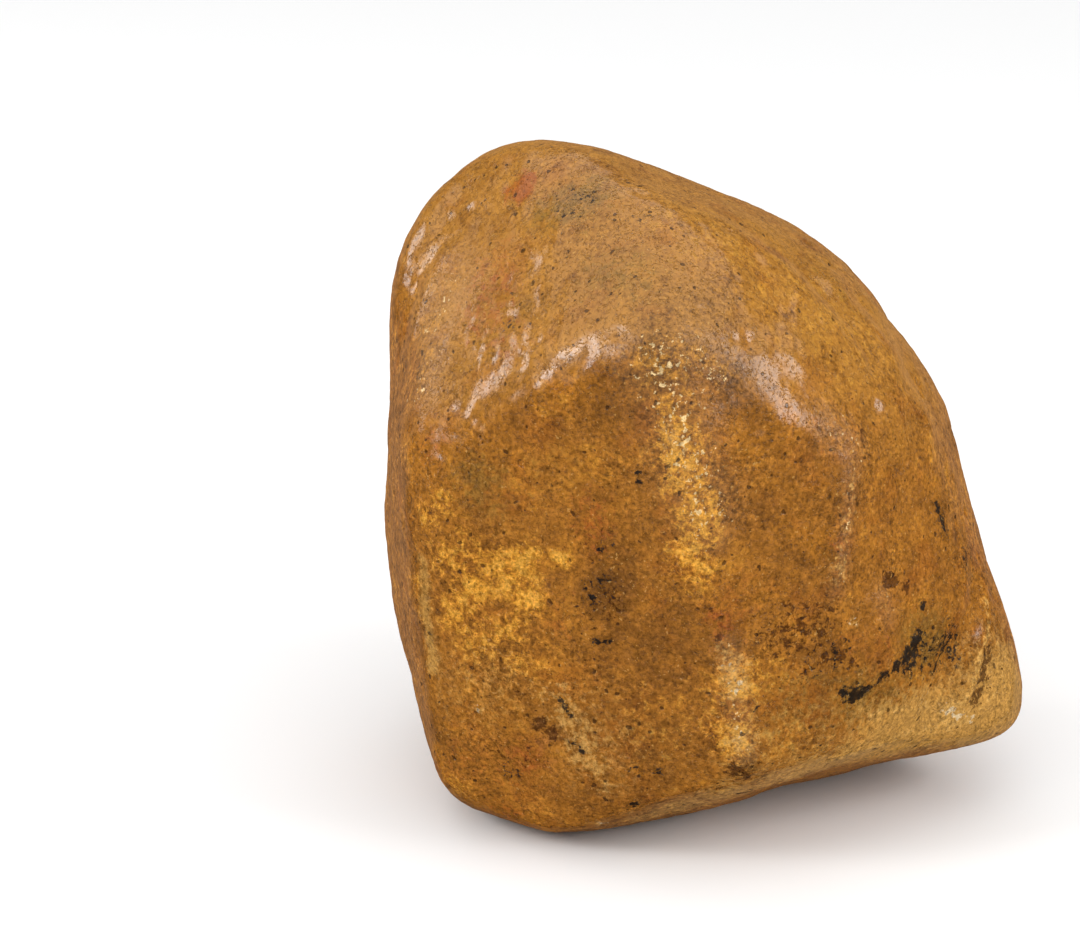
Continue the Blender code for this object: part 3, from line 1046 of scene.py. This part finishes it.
table_mesh.shade_smooth()
table = bpy.data.objects.new("table", table_mesh)
bpy.context.scene.collection.objects.link(table)
white = bpy.data.materials.new("white_table")
white.use_nodes = True
paper = white.node_tree.nodes["Principled BSDF"]
paper.inputs["Base Color"].default_value = (PAPER_WHITE, PAPER_WHITE, PAPER_WHITE, 1.0)
paper.inputs["Roughness"].default_value = PAPER_ROUGHNESS
paper.inputs["Specular IOR Level"].default_value = 0.0
table_mesh.materials.append(white)
table.visible_glossy = False
print("table, m across:", 2.0 * RIM_RADIUS)

# %% [markdown]
# A glossy stone needs something bright to show in it. Three soft boxes do that: one on either
# side puts a broken sheen on each shoulder, and a small one further round lights the left flank.

# %% Soft boxes: direction from the stone, distance, width and height in metres, watts
SOFT_BOXES = {
    "left": ((-67, 28), 0.80, (0.20, 0.28), 2.3),
    "right": ((75, 25), 0.80, (0.32, 0.40), 3.0),
    "far left": ((-109, 18), 0.80, (0.18, 0.26), 0.9),
}


def aim(thing, target):
    """Turn a light or camera so that its -Z looks at a point."""
    way = np.array(target) - np.array(thing.location)
    yaw = np.arctan2(way[0], -way[1])
    tip = np.arctan2(np.hypot(way[0], way[1]), -way[2])
    thing.rotation_euler = (tip, 0.0, yaw + np.pi)


for name, (direction, distance, size, watts) in SOFT_BOXES.items():
    light = bpy.data.lights.new(name, "AREA")
    light.shape = "RECTANGLE"
    light.size, light.size_y = size
    light.energy = watts
    box = bpy.data.objects.new(name, light)
    box.location = HEART + facing(*direction) * distance
    aim(box, HEART)
    bpy.context.scene.collection.objects.link(box)
    print(name, watts, "W")

# %% Overhead light
CEILING_DIRECTION = (10, 80)
CEILING_STRENGTH = 2.85
CEILING_SPREAD = 120.0

ceiling = bpy.data.objects.new("ceiling", bpy.data.lights.new("ceiling", "SUN"))
ceiling.data.energy = CEILING_STRENGTH
ceiling.data.angle = np.radians(CEILING_SPREAD)
ceiling.location = HEART + facing(*CEILING_DIRECTION)
aim(ceiling, HEART)
bpy.context.scene.collection.objects.link(ceiling)

# %% [markdown]
# The room itself is almost dark, a little brighter overhead than at the level of the table. That
# keeps the gloss from picking up a haze, so the sides of the stone stay deep in colour.

# %% Room light
ROOM_LEVEL, ROOM_OVERHEAD = 0.25, 1.00
OVERHEAD_FROM = 0.7    # how far up a direction looks, 0 level and 1 straight up, at full strength

world = bpy.data.worlds.new("studio")
world.use_nodes = True
room = world.node_tree
direction = room.nodes.new("ShaderNodeTexCoord")
parts = room.nodes.new("ShaderNodeSeparateXYZ")
rise = room.nodes.new("ShaderNodeMapRange")
rise.interpolation_type = "SMOOTHSTEP"
rise.inputs["From Min"].default_value = 0.0
rise.inputs["From Max"].default_value = OVERHEAD_FROM
rise.inputs["To Min"].default_value = ROOM_LEVEL
rise.inputs["To Max"].default_value = ROOM_OVERHEAD
room.links.new(direction.outputs["Generated"], parts.inputs[0])
room.links.new(parts.outputs["Z"], rise.inputs["Value"])
room.links.new(rise.outputs[0], room.nodes["Background"].inputs["Strength"])
bpy.context.scene.world = world
bpy.context.scene.view_settings.view_transform = "Standard"
print("room strength, level and overhead:", ROOM_LEVEL, ROOM_OVERHEAD)

# %% [markdown]
# ## Camera
#
# A long lens from a little above, with the stone to the right of the middle. The camera is aimed
# beside the stone and not shifted, so that it can be turned round the stone later.

# %% Place the camera
CAMERA_ELEVATION = 22.0
CAMERA_DISTANCE = 0.585
LENS = 100.0
NEAREST_SEEN = 0.01
ASIDE, ABOVE = -0.0312, 0.0027

camera = bpy.data.objects.new("camera", bpy.data.cameras.new("camera"))
camera.data.lens = LENS
camera.data.clip_start = NEAREST_SEEN
back = facing(0.0, CAMERA_ELEVATION)
upward = facing(180.0, 90.0 - CAMERA_ELEVATION)
camera.location = HEART + back * CAMERA_DISTANCE
aim(camera, HEART + np.array([ASIDE, 0.0, 0.0]) + upward * ABOVE)
bpy.context.scene.collection.objects.link(camera)
bpy.context.scene.camera = camera
print("camera at, mm:", np.round(np.array(camera.location) / MM))

# %% End of the scene
print("scene built")
